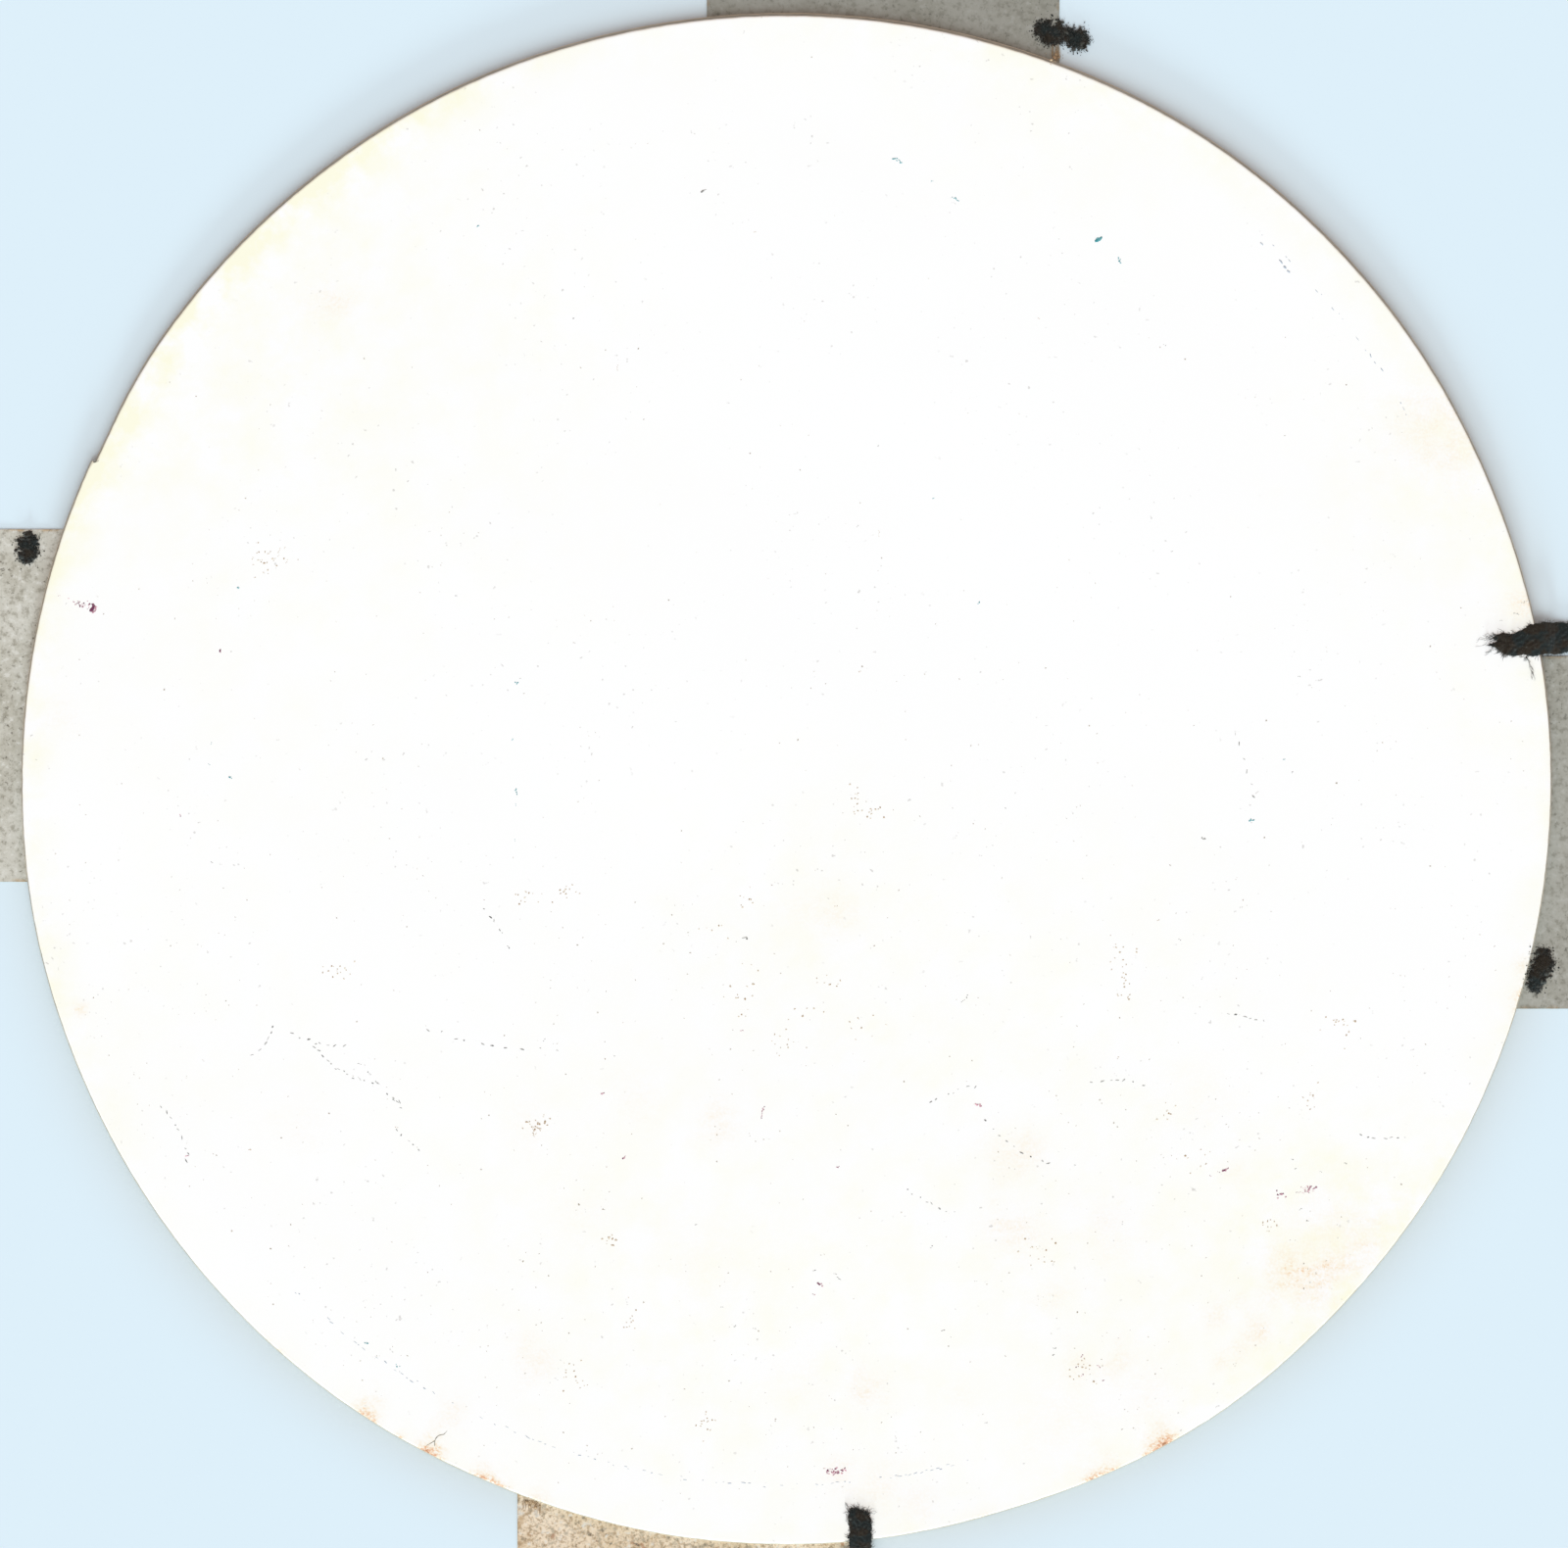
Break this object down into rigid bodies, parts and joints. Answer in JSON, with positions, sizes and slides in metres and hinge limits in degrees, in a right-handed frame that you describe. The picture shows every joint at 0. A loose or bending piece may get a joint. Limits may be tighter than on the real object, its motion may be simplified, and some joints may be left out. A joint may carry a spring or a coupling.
{
  "type": "circle template",
  "caption": "Hand-cut round template of white-faced board, with wide tape tabs on its back, sticky side up past the rim, for masking or drawing round a large circle.",
  "frame": {"origin": "under the centre of the disc, on the surface that the template lies on, which is the underside of the tape tabs", "axes": "+Z out of the white face; +X and +Y across the disc, towards the east and the north tape tab"},
  "size_m": [0.25, 0.25, 0.0023],
  "materials": {
    "face_paper": "white drawing paper, matt, faintly yellowed and foxed, flecked with dried paint",
    "pulp_core": "grey-tan pulp board, knife-cut edge with loose fibres",
    "back_paper": "cream backing paper, matt, toned by age",
    "packing_tape": "pale film tape, sticky side up, dusty adhesive yellowed along the edges",
    "black_felt": "torn black felt with loose fibres",
    "brown_fibre": "orange-brown pulp fibre"
  },
  "bodies": {
    "root": {"face_paper": "face_paper", "core_front": "pulp_core", "core_back": "pulp_core", "back_paper": "back_paper", "tape_north": "packing_tape", "tape_west": "packing_tape", "tape_south": "packing_tape", "tape_east": "packing_tape", "felt_scrap_east_upper": "black_felt", "felt_scrap_east_lower": "black_felt", "felt_scrap_north_left": "black_felt", "felt_scrap_north_right": "black_felt", "felt_scrap_west": "black_felt", "felt_scrap_south": "black_felt", "fibre_sliver_north": "brown_fibre", "fibre_shred_south": "brown_fibre"}
  },
  "joints": []
}
